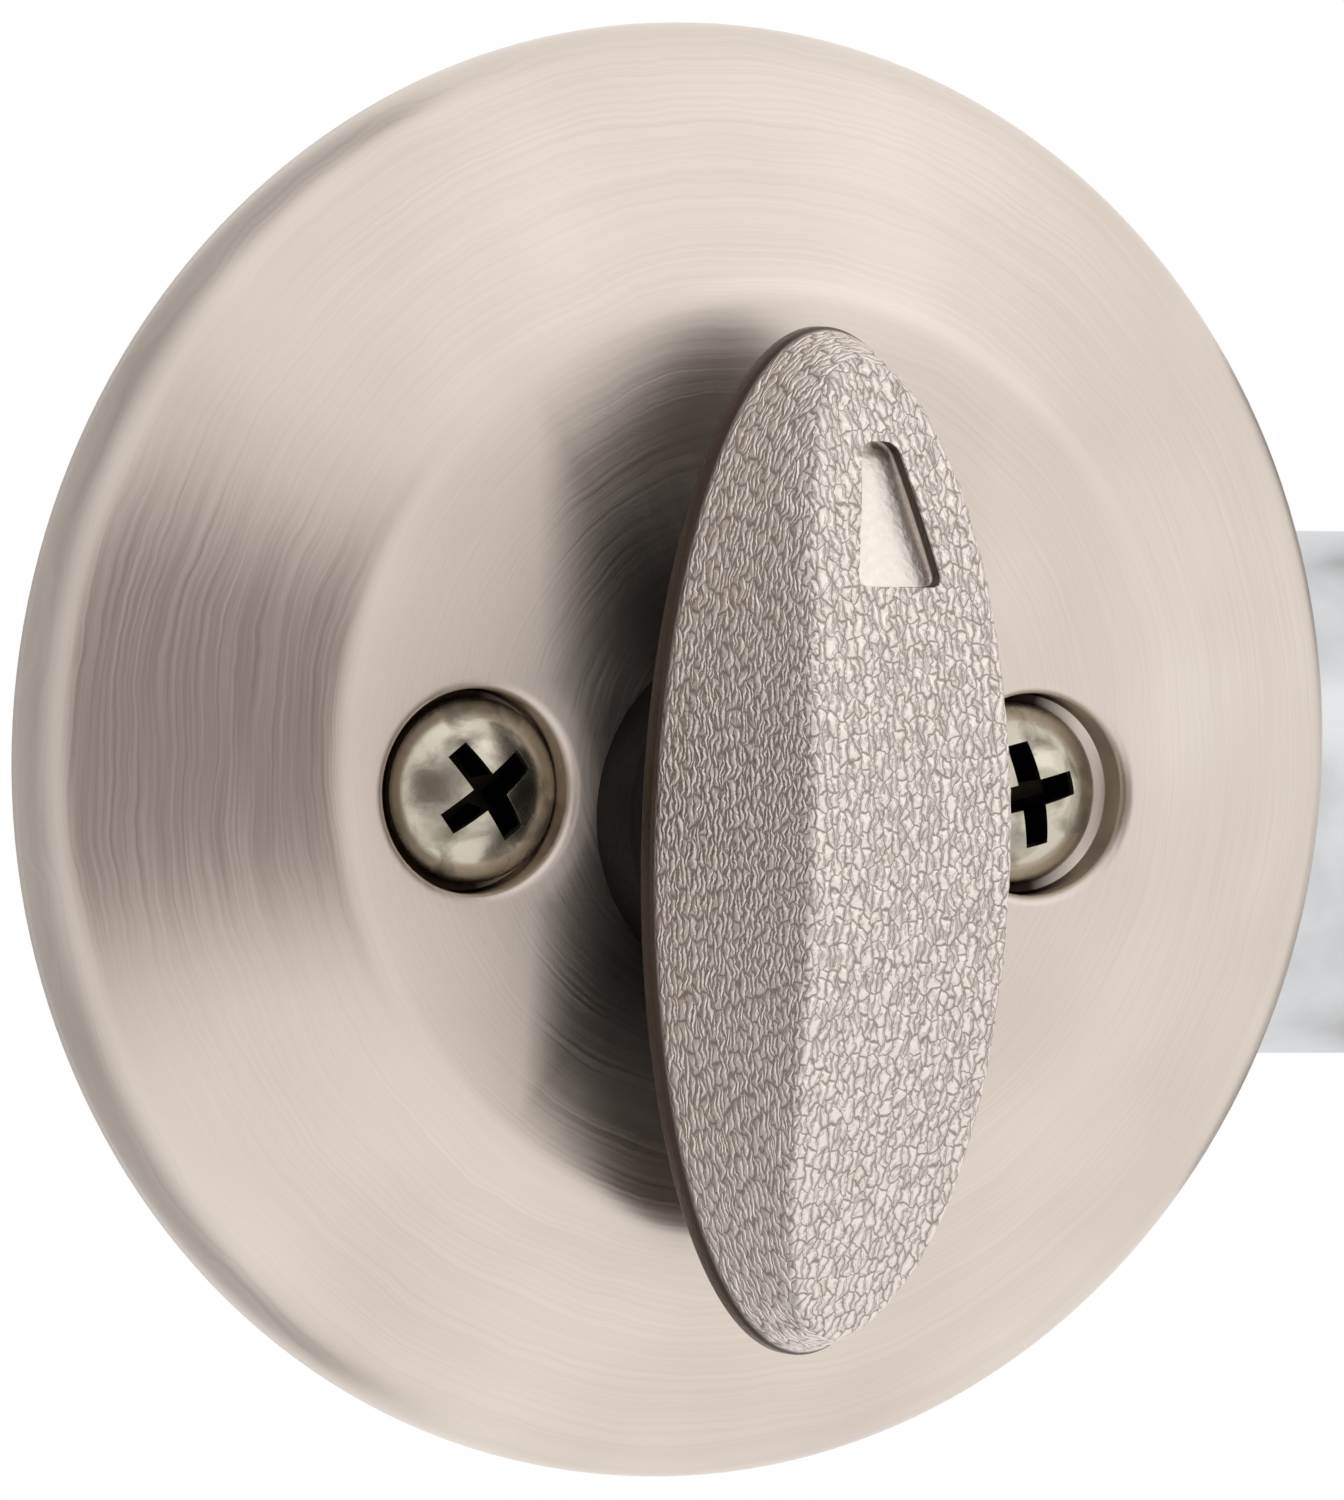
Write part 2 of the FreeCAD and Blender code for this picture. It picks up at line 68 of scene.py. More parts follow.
def node(tree, kind, inputs=None, **settings):
    """Adds one shader node; an input is a number, a colour or a socket to link from."""
    made = tree.nodes.new("ShaderNode" + kind)
    for key, value in settings.items():
        setattr(made, key, value)
    for key, value in (inputs or {}).items():
        if isinstance(value, bpy.types.NodeSocket):
            tree.links.new(value, made.inputs[key])
        else:
            made.inputs[key].default_value = value
    return made


def new_material(name):
    """A material with an empty Principled surface, its tree, and object coordinates in mm."""
    made = bpy.data.materials.new(name)
    made.use_nodes = True
    tree = made.node_tree
    tree.nodes.clear()
    surface = node(tree, "BsdfPrincipled")
    node(tree, "OutputMaterial", {"Surface": surface.outputs[0]})
    place = node(tree, "TexCoord").outputs["Object"]
    in_mm = node(tree, "VectorMath", {0: place, 1: (1000, 1000, 1000)}, operation="MULTIPLY")
    return made, tree, surface, in_mm.outputs[0]


def blend_colour(tree, factor, dark, light):
    """Mixes two colours by a factor socket."""
    mixed = node(tree, "Mix", {"Factor": factor, 6: dark, 7: light}, data_type="RGBA")
    return mixed.outputs[2]


def stretch(tree, value, low, high, out_low, out_high):
    """Maps one range of a value to another, clamped."""
    return node(tree, "MapRange", {"Value": value, 1: low, 2: high, 3: out_low, 4: out_high}).outputs[0]


def plated_metal(name, dark, light, rough_low, rough_high, patch_mm, grain_mm, grain_depth):
    """A plated or bare metal whose tone and gloss drift over patches, with a fine surface grain."""
    made, tree, surface, place = new_material(name)
    patches = node(tree, "TexNoise", {"Vector": place, "Scale": 1 / patch_mm, "Detail": 4.0})
    fine = node(tree, "TexNoise", {"Vector": place, "Scale": 1 / grain_mm, "Detail": 3.0})
    drift = stretch(tree, patches.outputs[0], 0.3, 0.7, 0.0, 1.0)
    tree.links.new(blend_colour(tree, drift, hex_colour(dark), hex_colour(light)),
                   surface.inputs["Base Color"])
    tree.links.new(stretch(tree, patches.outputs[0], 0.35, 0.65, rough_low, rough_high),
                   surface.inputs["Roughness"])
    bump = node(tree, "Bump", {"Height": fine.outputs[0], "Strength": 0.5, "Distance": grain_depth * MM})
    tree.links.new(bump.outputs[0], surface.inputs["Normal"])
    surface.inputs["Metallic"].default_value = 1.0
    return made


def finish_piece(piece, material, body, nodes):
    """Gives a piece its material, says which body it moves with, and hides the frame parts it stands in
    for.
    """
    piece.data.materials.clear()
    piece.data.materials.append(material)
    bpy.context.scene.collection.objects.link(piece)
    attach(piece, body)
    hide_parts(*nodes)
    return piece


def soften(piece, width, segments=2):
    """Rounds a piece's hard edges by a small width in mm."""
    edge = piece.modifiers.new("edge", "BEVEL")
    edge.width = width * MM
    edge.segments = segments
    edge.limit_method = "ANGLE"
    edge.angle_limit = math.radians(32)
    edge.harden_normals = True


def worked_copy(name, cad_node, material, body, width):
    """A clean copy of a frame part: triangles merged into flat faces, and edges rounded."""
    bm = bmesh.new()
    bm.from_mesh(frame["nodes"][cad_node].data)
    bmesh.ops.remove_doubles(bm, verts=bm.verts, dist=0.002 * MM)
    bmesh.ops.dissolve_limit(bm, angle_limit=math.radians(0.6), verts=bm.verts, edges=bm.edges)
    bmesh.ops.recalc_face_normals(bm, faces=bm.faces)
    for face in bm.faces:
        face.smooth = True
    mesh = bpy.data.meshes.new(name)
    bm.to_mesh(mesh)
    bm.free()
    mesh.set_sharp_from_angle(angle=math.radians(32))
    piece = bpy.data.objects.new(name, mesh)
    soften(piece, width)
    return finish_piece(piece, material, body, [cad_node])


# Zinc plate: cool light grey, half matt, a little cloudy.
zinc_plate = plated_metal("zinc_plated_steel", "bfc1c3", "dcdddf", 0.3, 0.44, 5.0, 0.12, 0.01)
for cad_node in ("case_plate_front", "case_plate_rear", "clamp_bar", "bolt_tube", "backing_plate"):
    worked_copy(cad_node + "_zinc", cad_node, zinc_plate, "trim_and_case", 0.12)
worked_copy("bolt_tail_zinc", "bolt_tail", zinc_plate, "bolt", 0.1)

# Case rivets, tail rivets and drive pin.
# Headed and turned from bright steel wire and closed over by a press, left unplated.
rivet_steel = plated_metal("bright_rivet_steel", "a8a6a2", "cdcac4", 0.2, 0.32, 1.6, 0.08, 0.006)
worked_copy("case_rivets_bright", "case_rivets", rivet_steel, "trim_and_case", 0.1)
worked_copy("tail_rivets_bright", "tail_rivets", rivet_steel, "bolt", 0.08)
worked_copy("drive_pin_bright", "drive_pin", rivet_steel, "bolt", 0.1)

# Cam.
# A zinc die casting: soft blue-grey, with the sandy skin that the die leaves.
zinc_casting = plated_metal("zinc_casting", "84868a", "a3a5a8", 0.42, 0.58, 3.0, 0.18, 0.03)
worked_copy("cam_cast", "cam", zinc_casting, "thumbturn", 0.18)

# Detent spring, wave washer, retaining clip, torque blade, its pin and the anti-saw pin.
# Hardened and tempered steel, stamped or cut from bar; tempering leaves it darker and warmer.
spring_steel = plated_metal("spring_steel", "6e6a66", "918c86", 0.24, 0.38, 2.4, 0.1, 0.008)
worked_copy("detent_spring_leaf", "detent_spring", spring_steel, "trim_and_case", 0.06)
for cad_node in ("wave_washer", "retaining_clip", "torque_blade", "blade_pin"):
    worked_copy(cad_node + "_steel", cad_node, spring_steel, "thumbturn", 0.07)
worked_copy("anti_saw_pin_steel", "anti_saw_pin", spring_steel, "bolt", 0.1)

# Deadbolt.
# Machined bar with a rounded section and a chamfered nose, nickel plated over fine draw lines.
bolt_nickel = plated_metal("nickel_plated_bolt", "b9b1a6", "d3cbc0", 0.2, 0.3, 6.0, 0.1, 0.008)
worked_copy("deadbolt_plated", "deadbolt", bolt_nickel, "bolt", 0.15)

# Faceplate.
# Stamped plate on the door's edge, brushed end to end before it is plated in satin nickel.
plate_nickel, tree, surface, place = new_material("straight_brushed_satin_nickel")
lines = node(tree, "Mapping", {"Vector": place, "Scale": (8.0, 8.0, 0.12)})
scratches = node(tree, "TexNoise", {"Vector": lines.outputs[0], "Scale": 1.0, "Detail": 5.0})
streaks = stretch(tree, scratches.outputs[0], 0.3, 0.7, 0.0, 1.0)
tree.links.new(blend_colour(tree, streaks, hex_colour("c5bab0"), hex_colour("dbd2c8")),
               surface.inputs["Base Color"])
tree.links.new(stretch(tree, scratches.outputs[0], 0.3, 0.7, 0.26, 0.4), surface.inputs["Roughness"])
across = node(tree, "VectorTransform", {"Vector": (0, 1, 0)}, vector_type="VECTOR",
              convert_from="OBJECT", convert_to="WORLD")
tree.links.new(across.outputs[0], surface.inputs["Tangent"])
bump = node(tree, "Bump", {"Height": scratches.outputs[0], "Strength": 0.4, "Distance": 0.006 * MM})
tree.links.new(bump.outputs[0], surface.inputs["Normal"])
surface.inputs["Metallic"].default_value = 1.0
surface.inputs["Anisotropic"].default_value = 0.6
worked_copy("faceplate_brushed", "faceplate", plate_nickel, "trim_and_case", 0.2)

# Faceplate screws and mounting screws.
# Cold-headed steel with rolled threads and a punched cross, nickel plated; the plating is a
# slightly yellow-green grey and the heads carry dark smudges.
HEAD_R, HEAD_FLOOR, HEAD_SEAT, HEAD_TOP = 4.2, 7.0, 7.5, 9.35
CROWN = HEAD_TOP - HEAD_SEAT
BALL_R = (HEAD_R ** 2 + CROWN ** 2) / (2 * CROWN)
SCREW_X, SCREW_Z = 13.9, 1.0
SCREW_SIDES = ((-SCREW_X, 38.0), (SCREW_X, 14.0))
CROSS_DEEP, CROSS_ABOVE = 2.2, 0.8
CROSS_MOUTH, CROSS_FLOOR = (1.35, 6.0), (0.8, 3.4)
THREAD_R, THREAD_DEEP, THREAD_PITCH, THREAD_SIDES = 2.05, 0.32, 0.79, 28
THREAD_LOW, THREAD_HIGH, TIP_R, TIP_LOW, TIP_HIGH = -31.6, 6.2, 1.74, -32.35, -31.0
MERGE = 0.0005 * MM
FACE_OUT = Matrix.Rotation(math.radians(90), 4, "X")


def lathe(bm, outline, steps, pitch=0.0):
    """Turns an outline of (radius, height) points in mm about local Z; a pitch makes it a screw."""
    start = Vector((outline[0][0], 0, outline[0][1])) * MM
    last = bmesh.ops.create_vert(bm, co=start)["vert"][0]
    geom = [last]
    for radius, height in outline[1:]:
        grown = bmesh.ops.extrude_vert_indiv(bm, verts=[last])
        last = grown["verts"][0]
        last.co = Vector((radius, 0, height)) * MM
        geom += [last] + grown["edges"]
    rise = (0, 0, pitch * MM / steps)
    bmesh.ops.spin(bm, geom=geom, cent=(0, 0, 0), axis=(0, 0, 1), dvec=rise,
                   angle=2 * math.pi, steps=steps, use_duplicate=False)
    bmesh.ops.remove_doubles(bm, verts=bm.verts, dist=MERGE)


def to_piece(bm, name, sharp=32):
    """Closes a bmesh into an object with outward normals, smooth but for its sharp edges."""
    bmesh.ops.recalc_face_normals(bm, faces=bm.faces)
    for face in bm.faces:
        face.smooth = True
    mesh = bpy.data.meshes.new(name)
    bm.to_mesh(mesh)
    bm.free()
    mesh.set_sharp_from_angle(angle=math.radians(sharp))
    return bpy.data.objects.new(name, mesh)


def cut_away(piece, cutter):
    """Cuts one closed mesh out of another and keeps the result as the piece's own mesh."""
    scene = bpy.context.scene.collection.objects
    scene.link(piece)
    scene.link(cutter)
    hole = piece.modifiers.new("hole", "BOOLEAN")
    hole.operation = "DIFFERENCE"
    hole.solver = "EXACT"
    hole.use_self = True
    hole.object = cutter
    bpy.context.view_layer.update()
    mesh = bpy.data.meshes.new_from_object(piece.evaluated_get(bpy.context.evaluated_depsgraph_get()))
    piece.modifiers.clear()
    piece.data = mesh
    scene.unlink(piece)
    bpy.data.objects.remove(cutter)


def thread(bm, radius, depth, pitch, low, high):
    """Rolled threads between two heights, with a narrow flat on each crest."""
    flat_from, flat_to = 0.42, 0.55
    teeth = int((high - low) / pitch)
    outline = []
    for tooth in range(teeth):
        base = low + tooth * pitch
        outline.append((radius - depth, base))
        outline += [(radius, base + flat_from * pitch), (radius, base + flat_to * pitch)]
    outline.append((radius - depth, low + teeth * pitch))
    lathe(bm, outline, THREAD_SIDES, pitch)


def cross_cutter(top, depth, place):
    """A cross punch: two wings that narrow and shorten towards the bottom."""
    bm = bmesh.new()
    for turn in (0, 90):
        made = bmesh.ops.create_cube(bm, size=1.0, matrix=Matrix.Rotation(math.radians(turn), 4, "Z"))
        for vert in made["verts"]:
            low = vert.co.z < 0
            wide, long = CROSS_FLOOR if low else CROSS_MOUTH
            along = Vector((math.cos(math.radians(turn)), math.sin(math.radians(turn)), 0))
            side = Vector((-along.y, along.x, 0))
            a, b = vert.co.dot(along), vert.co.dot(side)
            height = top - depth if low else top + CROSS_ABOVE
            vert.co = (along * a * long + side * b * wide + Vector((0, 0, height))) * MM
    bmesh.ops.recalc_face_normals(bm, faces=bm.faces)
    mesh = bpy.data.meshes.new("cross_cutter")
    bm.to_mesh(mesh)
    bm.free()
    mesh.transform(place)
    return bpy.data.objects.new("cross_cutter", mesh)


# Nickel-plated screw steel: a glossy yellow-grey with soft dark smudges.
screw_nickel, tree, surface, place = new_material("nickel_plated_screw_steel")
smudge = node(tree, "TexNoise", {"Vector": place, "Scale": 0.55, "Detail": 5.0, "Distortion": 0.6})
turned = node(tree, "TexNoise", {"Vector": place, "Scale": 4.0, "Detail": 4.0})
dirt = stretch(tree, smudge.outputs[0], 0.44, 0.74, 0.0, 1.0)
plating = blend_colour(tree, dirt, hex_colour("c6bfae"), hex_colour("6b6557"))
# Painted shade: the punched cross is painted near black, as shade in the recess; it lies inside the ball
# that the crown belongs to.
folded = node(tree, "VectorMath", {0: place}, operation="ABSOLUTE")
parts = node(tree, "SeparateXYZ", {0: folded.outputs[0]})
upright = node(tree, "SeparateXYZ", {0: place})
centred = node(tree, "CombineXYZ", {"X": parts.outputs["X"], "Y": upright.outputs["Y"],
                                    "Z": upright.outputs["Z"]})
ball_middle = (SCREW_X, BALL_R - HEAD_TOP, SCREW_Z)
from_ball = node(tree, "VectorMath", {0: centred.outputs[0], 1: ball_middle},
                 operation="DISTANCE").outputs["Value"]
inside = stretch(tree, from_ball, BALL_R - 0.4, BALL_R - 0.14, 1.0, 0.0)
axis_x = node(tree, "Math", {0: parts.outputs["X"], 1: -SCREW_X}, operation="ADD").outputs[0]
axis_z = node(tree, "Math", {0: upright.outputs["Z"], 1: -SCREW_Z}, operation="ADD").outputs[0]
off_axis = node(tree, "CombineXYZ", {"X": axis_x, "Y": axis_z}).outputs[0]
from_axis = node(tree, "VectorMath", {0: off_axis}, operation="LENGTH").outputs["Value"]
near_axis = stretch(tree, from_axis, 3.1, 3.3, 1.0, 0.0)
painted_cross_shade = node(tree, "Math", {0: inside, 1: near_axis}, operation="MULTIPLY").outputs[0]
tree.links.new(blend_colour(tree, painted_cross_shade, plating, hex_colour("17130f")), surface.inputs["Base Color"])
tree.links.new(stretch(tree, smudge.outputs[0], 0.35, 0.7, 0.2, 0.38), surface.inputs["Roughness"])
bump = node(tree, "Bump", {"Height": turned.outputs[0], "Strength": 0.5, "Distance": 0.012 * MM})
tree.links.new(bump.outputs[0], surface.inputs["Normal"])
surface.inputs["Metallic"].default_value = 1.0

screws = bmesh.new()
for x, turn in SCREW_SIDES:
    head = bmesh.new()
    dome = []
    for step in range(15):
        radius = (HEAD_R - 0.22) * step / 14
        dome.append((radius, HEAD_TOP - BALL_R + math.sqrt(BALL_R ** 2 - radius ** 2)))
    rim = [(HEAD_R - 0.06, HEAD_SEAT + 0.02), (HEAD_R, HEAD_SEAT - 0.06)]
    rim += [(HEAD_R, HEAD_FLOOR), (0, HEAD_FLOOR)]
    lathe(head, dome + rim, 96)
    turned_to_room = Matrix.Translation((x * MM, 0, SCREW_Z * MM)) @ FACE_OUT
    spun = turned_to_room @ Matrix.Rotation(math.radians(turn), 4, "Z")
    piece = to_piece(head, "screw_head")
    piece.data.transform(spun)
    cut_away(piece, cross_cutter(HEAD_TOP, CROSS_DEEP, spun))
    screws.from_mesh(piece.data)
    bpy.data.objects.remove(piece)
    shank = bmesh.new()
    thread(shank, THREAD_R, THREAD_DEEP, THREAD_PITCH, THREAD_LOW, THREAD_HIGH)
    lathe(shank, [(TIP_R, TIP_LOW), (TIP_R, TIP_HIGH)], THREAD_SIDES)
    bmesh.ops.holes_fill(shank, edges=shank.edges)
    spare = bpy.data.meshes.new("shank")
    shank.to_mesh(spare)
    shank.free()
    spare.transform(turned_to_room)
    screws.from_mesh(spare)
mounting = to_piece(screws, "mounting_screws_headed")
soften(mounting, 0.07)
finish_piece(mounting, screw_nickel, "trim_and_case", ["mounting_screws"])
worked_copy("faceplate_screws_plated", "faceplate_screws", screw_nickel, "trim_and_case", 0.06)

# Rose.
# Sheet brass or steel pressed into a dome, with two screw cups pressed in, spun against an
# abrasive so the satin nickel carries fine rings, and turned in at the rim.
ROSE_Z = 2.6
ROSE_R, ROSE_H, FLAT_R = 33.5, 8.9, 20.6
SKIRT = math.radians(28)
SHOULDER_ROLL, RIM_ROLL = 3.4, 3.2
CUP_R, LIP, CUP_X = 4.66, 0.55, 14.3
CUP_FLOOR, CUP_TURN, CUP_LOOP_R = 7.0, 0.35, 5.75
SCREW_HOLE_R, AXLE_HOLE_R, FLAT_LOOP_R, SHEET_T = 2.35, 6.6, FLAT_R - 0.15, 1.1
ALONG_Y = Matrix.Rotation(math.radians(-90), 4, "X")


def round_loop(bm, x, z, half_x, half_z, height, count):
    """A closed loop of edges at one height off the door, round or oval."""
    at = Matrix.Translation(Vector((x, -height, z)) * MM) @ ALONG_Y
    made = bmesh.ops.create_circle(bm, cap_ends=False, segments=count, radius=half_x * MM, matrix=at)
    if half_x != half_z:
        bmesh.ops.scale(bm, vec=(1, 1, half_z / half_x), verts=made["verts"],
                        space=Matrix.Translation(Vector((-x, height, -z)) * MM))
    return list({edge for vert in made["verts"] for edge in vert.link_edges})


def sweep(bm, loop, x, z, start, rings):
    """Grows a loop ring by ring; each ring is (half width, half height, height off the door)."""
    half_x, half_z, height = start
    for next_x, next_z, next_height in rings:
        grown = bmesh.ops.extrude_edge_only(bm, edges=loop)["geom"]
        verts = [g for g in grown if isinstance(g, bmesh.types.BMVert)]
        loop = [g for g in grown if isinstance(g, bmesh.types.BMEdge) and g.is_boundary]
        bmesh.ops.scale(bm, vec=(next_x / half_x, 1, next_z / half_z), verts=verts,
                        space=Matrix.Translation(Vector((-x, 0, -z)) * MM))
        bmesh.ops.translate(bm, vec=(0, (height - next_height) * MM, 0), verts=verts)
        half_x, half_z, height = next_x, next_z, next_height
    return loop


shell = bmesh.new()
rim_loop = round_loop(shell, 0, ROSE_Z, FLAT_LOOP_R, FLAT_LOOP_R, ROSE_H, 192)
cup_loops = [round_loop(shell, x, SCREW_Z, CUP_LOOP_R, CUP_LOOP_R, ROSE_H, 72) for x in (-CUP_X, CUP_X)]
axle_loop = round_loop(shell, 0, 0, AXLE_HOLE_R, AXLE_HOLE_R, ROSE_H, 72)
bmesh.ops.triangle_fill(shell, use_beauty=True, edges=rim_loop + cup_loops[0] + cup_loops[1] + axle_loop,
                        normal=(0, -1, 0))
for x, loop in zip((-CUP_X, CUP_X), cup_loops):
    rings = [(CUP_R + LIP, ROSE_H)]
    for step in range(1, 8):
        a = math.pi / 2 * step / 7
        rings.append((CUP_R + LIP - LIP * math.sin(a), ROSE_H - LIP + LIP * math.cos(a)))
    rings += [(CUP_R, CUP_FLOOR + CUP_TURN), (CUP_R - 0.1, CUP_FLOOR + 0.12)]
    rings += [(CUP_R - CUP_TURN, CUP_FLOOR), (SCREW_HOLE_R, CUP_FLOOR)]
    sweep(shell, loop, x, SCREW_Z, (CUP_LOOP_R, CUP_LOOP_R, ROSE_H), [(r, r, h) for r, h in rings])
profile = [(FLAT_R, ROSE_H)]
for step in range(1, 11):
    a = SKIRT * step / 10
    profile.append((FLAT_R + SHOULDER_ROLL * math.sin(a), ROSE_H - SHOULDER_ROLL * (1 - math.cos(a))))
bend_r, bend_h = profile[-1]
roll_r = ROSE_R - RIM_ROLL * (1 - math.sin(SKIRT))
roll_h = bend_h - (roll_r - bend_r) * math.tan(SKIRT)
for step in range(1, 7):
    profile.append((bend_r + (roll_r - bend_r) * step / 6, bend_h + (roll_h - bend_h) * step / 6))
for step in range(1, 13):
    a = SKIRT + (math.pi / 2 - SKIRT) * step / 12
    rim_h = roll_h - RIM_ROLL * (math.cos(SKIRT) - math.cos(a))
    profile.append((ROSE_R - RIM_ROLL * (1 - math.sin(a)), rim_h))
profile.append((ROSE_R, 0.0))
sweep(shell, rim_loop, 0, ROSE_Z, (FLAT_LOOP_R, FLAT_LOOP_R, ROSE_H), [(r, r, h) for r, h in profile])
bmesh.ops.recalc_face_normals(shell, faces=shell.faces)
if max(shell.faces, key=lambda f: f.calc_area()).normal.y > 0:
    bmesh.ops.reverse_faces(shell, faces=shell.faces)
for face in shell.faces:
    face.smooth = True
mesh = bpy.data.meshes.new("rose_pressed")
shell.to_mesh(mesh)
shell.free()
mesh.set_sharp_from_angle(angle=math.radians(40))
rose = bpy.data.objects.new("rose_pressed", mesh)
sheet = rose.modifiers.new("sheet", "SOLIDIFY")
sheet.thickness = SHEET_T * MM
sheet.offset = -1.0

# Ring-brushed nickel: reflections are drawn out along the radius, and hairlines 0.3 mm apart
# waver round the centre in slightly lighter and darker tone.
rose_nickel, tree, surface, place = new_material("ring_brushed_satin_nickel")
out = node(tree, "VectorMath", {0: place, 1: (0, 0, ROSE_Z)}, operation="SUBTRACT")
flat = node(tree, "VectorMath", {0: out.outputs[0], 1: (1, 0, 1)}, operation="MULTIPLY")
radius = node(tree, "VectorMath", {0: flat.outputs[0]}, operation="LENGTH").outputs["Value"]
radial = node(tree, "VectorMath", {0: flat.outputs[0]}, operation="NORMALIZE")
world_radial = node(tree, "VectorTransform", {"Vector": radial.outputs[0]}, vector_type="VECTOR",
                    convert_from="OBJECT", convert_to="WORLD")
waver = node(tree, "TexNoise", {"Vector": place, "Scale": 0.16, "Detail": 3.0})
wobble = stretch(tree, waver.outputs[0], 0.0, 1.0, -0.6, 0.6)
bent = node(tree, "Math", {0: radius, 1: wobble}, operation="ADD").outputs[0]
slow = node(tree, "VectorMath", {0: radial.outputs[0], 1: (1.6, 1.6, 1.6)}, operation="MULTIPLY")
ring_place = node(tree, "CombineXYZ", {"X": bent})
stretched = node(tree, "VectorMath", {0: ring_place.outputs[0], 1: (6.5, 1, 1)}, operation="MULTIPLY")
ring_vector = node(tree, "VectorMath", {0: stretched.outputs[0], 1: slow.outputs[0]}, operation="ADD")
hairline = node(tree, "TexNoise", {"Vector": ring_vector.outputs[0], "Scale": 1.0, "Detail": 6.0,
                                   "Roughness": 0.62})
cloud = node(tree, "TexNoise", {"Vector": place, "Scale": 0.07, "Detail": 2.0})
tone = node(tree, "Math", {0: hairline.outputs[0], 1: cloud.outputs[0]}, operation="ADD").outputs[0]
ring_tone = stretch(tree, tone, 0.7, 1.3, 0.0, 1.0)
brushed = blend_colour(tree, ring_tone, hex_colour("cdc1b6"), hex_colour("dfd4ca"))
# Painted shade in the cups: below the lip, the gap on the left of each screw head is painted dark brown as
# shade, and the right wall, which faces the light, stays as pale as the rest.
folded = node(tree, "VectorMath", {0: place}, operation="ABSOLUTE")
depth = node(tree, "SeparateXYZ", {0: folded.outputs[0]}).outputs["Y"]
inward = node(tree, "SeparateXYZ", {0: flat.outputs[0]})
level_z = node(tree, "Math", {0: inward.outputs["Z"], 1: ROSE_Z - SCREW_Z}, operation="ADD").outputs[0]
folded_x = node(tree, "SeparateXYZ", {0: folded.outputs[0]}).outputs["X"]
side_x = node(tree, "Math", {0: folded_x, 1: -CUP_X}, operation="ADD").outputs[0]
off_cup = node(tree, "CombineXYZ", {"X": side_x, "Y": level_z}).outputs[0]
from_cup = node(tree, "VectorMath", {0: off_cup}, operation="LENGTH").outputs["Value"]
within = stretch(tree, from_cup, CUP_R + 0.3, CUP_R + 0.4, 1.0, 0.0)
below = stretch(tree, depth, ROSE_H - 1.45, ROSE_H - 1.05, 1.0, 0.0)
place_x = node(tree, "SeparateXYZ", {0: place}).outputs["X"]
side = node(tree, "Math", {0: place_x}, operation="SIGN").outputs[0]
across_cup = node(tree, "Math", {0: side, 1: side_x}, operation="MULTIPLY").outputs[0]
lee = stretch(tree, across_cup, 0.8, 3.2, 1.0, 0.0)
sheltered = node(tree, "Math", {0: below, 1: lee}, operation="MULTIPLY").outputs[0]
painted_cup_shade = node(tree, "Math", {0: within, 1: sheltered}, operation="MULTIPLY").outputs[0]
tree.links.new(blend_colour(tree, painted_cup_shade, brushed, hex_colour("2a211c")), surface.inputs["Base Color"])
matt = stretch(tree, radius, 18.5, 22.5, 0.09, 0.0)
glaze = stretch(tree, hairline.outputs[0], 0.3, 0.7, 0.27, 0.37)
roughness = node(tree, "Math", {0: glaze, 1: matt}, operation="ADD").outputs[0]
tree.links.new(roughness, surface.inputs["Roughness"])
tree.links.new(world_radial.outputs[0], surface.inputs["Tangent"])
bump = node(tree, "Bump", {"Height": hairline.outputs[0], "Strength": 0.35, "Distance": 0.02 * MM})
tree.links.new(bump.outputs[0], surface.inputs["Normal"])
surface.inputs["Metallic"].default_value = 1.0
surface.inputs["Anisotropic"].default_value = 0.55
finish_piece(rose, rose_nickel, "trim_and_case", ["rose"])

# Turnpiece bushing.
# A moulded black acetal collar with a rounded front edge that the neck turns in.
BUSH_R, BUSH_BACK, BUSH_FRONT, BUSH_ROUND = 8.3, 6.5, 12.9, 0.8
NECK_R, NECK_GAP = 5.0, 0.05
BORE_R = NECK_R + NECK_GAP
collar = bmesh.new()
outline = [(BORE_R, BUSH_BACK), (AXLE_HOLE_R, BUSH_BACK), (AXLE_HOLE_R, ROSE_H), (BUSH_R, ROSE_H)]
for step in range(9):
    a = math.pi / 2 * step / 8
    collar_r = BUSH_R - BUSH_ROUND * (1 - math.cos(a))
    outline.append((collar_r, BUSH_FRONT - BUSH_ROUND * (1 - math.sin(a))))
outline += [(BORE_R, BUSH_FRONT), (BORE_R, BUSH_BACK)]
lathe(collar, outline, 96)
bushing = to_piece(collar, "bushing_moulded", 40)
bushing.data.transform(FACE_OUT)
# Black acetal: near black, half matt, with a fine moulded skin.
acetal, tree, surface, place = new_material("black_acetal")
skin = node(tree, "TexNoise", {"Vector": place, "Scale": 3.0, "Detail": 4.0})
tree.links.new(blend_colour(tree, skin.outputs[0], hex_colour("0b0a0a"), hex_colour("191716")),
               surface.inputs["Base Color"])
tree.links.new(stretch(tree, skin.outputs[0], 0.3, 0.7, 0.44, 0.6), surface.inputs["Roughness"])
surface.inputs["Specular IOR Level"].default_value = 0.12
bump = node(tree, "Bump", {"Height": skin.outputs[0], "Strength": 0.4, "Distance": 0.02 * MM})
tree.links.new(bump.outputs[0], surface.inputs["Normal"])
finish_piece(bushing, acetal, "trim_and_case", ["turnpiece_bushing"])

